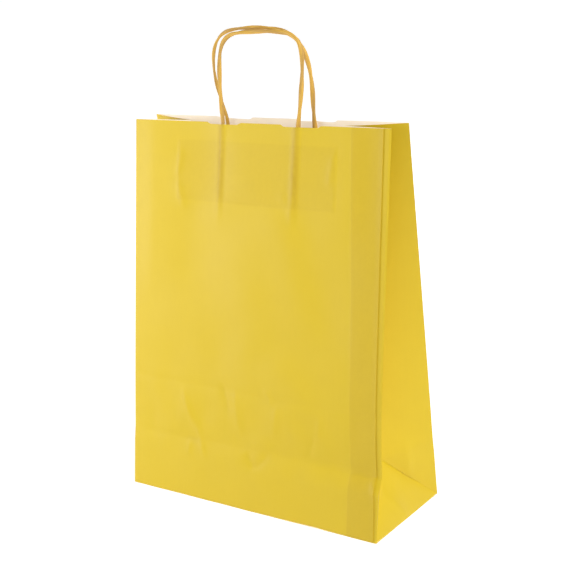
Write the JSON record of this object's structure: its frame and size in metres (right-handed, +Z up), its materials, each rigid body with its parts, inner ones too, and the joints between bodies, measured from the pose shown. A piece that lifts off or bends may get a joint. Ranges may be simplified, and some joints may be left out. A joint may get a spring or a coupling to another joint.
{
  "type": "gift bag",
  "caption": "Block-bottom paper gift bag with folding side gussets, a glued side seam and a twisted paper cord loop handle on each wide side.",
  "frame": {"origin": "centre of the squared bottom, on the surface the bag stands on", "axes": "+Z up towards the mouth, +X along the width, -Y towards the wide side with the glued seam"},
  "size_m": [0.24, 0.1, 0.3806],
  "materials": {
    "bag_paper": "matt yellow printed kraft outside, white inside",
    "patch_paper": "plain cream kraft strip, glued",
    "handle_cord": "golden paper cord, a folded strip twisted slowly"
  },
  "bodies": {
    "base": {"bottom_front_flap": "bag_paper", "bottom_rear_flap": "bag_paper", "bottom_left_tuck": "bag_paper", "bottom_right_tuck": "bag_paper"},
    "front_wall": {"front_panel": "bag_paper", "side_seam_flap": "bag_paper", "front_patch_outer": "patch_paper", "front_patch_inner": "patch_paper", "front_cord_ends": "handle_cord"},
    "rear_wall": {"rear_panel": "bag_paper", "rear_patch_outer": "patch_paper", "rear_patch_inner": "patch_paper", "rear_cord_ends": "handle_cord"},
    "left_gusset_front": {"left_gusset_front_half": "bag_paper"},
    "left_gusset_rear": {"left_gusset_rear_half": "bag_paper"},
    "right_gusset_front": {"right_gusset_front_half": "bag_paper"},
    "right_gusset_rear": {"right_gusset_rear_half": "bag_paper"},
    "left_base_triangle": {"left_base_triangle": "bag_paper"},
    "right_base_triangle": {"right_base_triangle": "bag_paper"},
    "front_handle": {"front_handle_cord": "handle_cord"},
    "rear_handle": {"rear_handle_cord": "handle_cord"}
  },
  "joints": [
    {"name": "mouth", "type": "hinge", "parent": "base", "child": "front_wall", "pos_m": [0, -0.05, 0], "axis": [1, 0, 0], "range_deg": [0, 5.6]},
    {"name": "rear_wall_hinge", "type": "hinge", "parent": "base", "child": "rear_wall", "pos_m": [0, 0.05, 0], "axis": [-1, 0, 0], "range_deg": [0, 4.89]},
    {"name": "left_gusset_front_fold", "type": "hinge", "parent": "front_wall", "child": "left_gusset_front", "pos_m": [-0.12, -0.05, 0], "axis": [0, 0.1288, 0.9917], "range_deg": [0, 44.68], "deforming": ["left_gusset_front_half"]},
    {"name": "left_gusset_rear_fold", "type": "hinge", "parent": "rear_wall", "child": "left_gusset_rear", "pos_m": [-0.12, 0.05, 0], "axis": [0, 0.108, -0.9942], "range_deg": [0, 44.68], "deforming": ["left_gusset_rear_half"]},
    {"name": "left_base_fold", "type": "hinge", "parent": "base", "child": "left_base_triangle", "pos_m": [-0.12, 0, 0], "axis": [0, -1, 0], "range_deg": [0, 15.9]},
    {"name": "right_gusset_front_fold", "type": "hinge", "parent": "front_wall", "child": "right_gusset_front", "pos_m": [0.12, -0.05, 0], "axis": [0, -0.1288, -0.9917], "range_deg": [0, 44.68], "deforming": ["right_gusset_front_half"]},
    {"name": "right_gusset_rear_fold", "type": "hinge", "parent": "rear_wall", "child": "right_gusset_rear", "pos_m": [0.12, 0.05, 0], "axis": [0, -0.108, 0.9942], "range_deg": [0, 44.68], "deforming": ["right_gusset_rear_half"]},
    {"name": "right_base_fold", "type": "hinge", "parent": "base", "child": "right_base_triangle", "pos_m": [0.12, 0, 0], "axis": [0, 1, 0], "range_deg": [0, 15.9]},
    {"name": "front_handle_fold", "type": "hinge", "parent": "front_wall", "child": "front_handle", "pos_m": [0, -0.01007, 0.30742], "axis": [1, 0, 0], "range_deg": [0, 150]},
    {"name": "rear_handle_fold", "type": "hinge", "parent": "rear_wall", "child": "rear_handle", "pos_m": [0, 0.01652, 0.30819], "axis": [-1, 0, 0], "range_deg": [0, 150]}
  ],
  "couplings": [
    {"joint": "rear_wall_hinge", "follows": "mouth", "ratio": 0.8378},
    {"joint": "left_gusset_front_fold", "follows": "mouth", "ratio": 7.8},
    {"joint": "left_gusset_rear_fold", "follows": "mouth", "ratio": 7.8},
    {"joint": "left_base_fold", "follows": "mouth", "ratio": 2.75},
    {"joint": "right_gusset_front_fold", "follows": "mouth", "ratio": 7.8},
    {"joint": "right_gusset_rear_fold", "follows": "mouth", "ratio": 7.8},
    {"joint": "right_base_fold", "follows": "mouth", "ratio": 2.75}
  ]
}
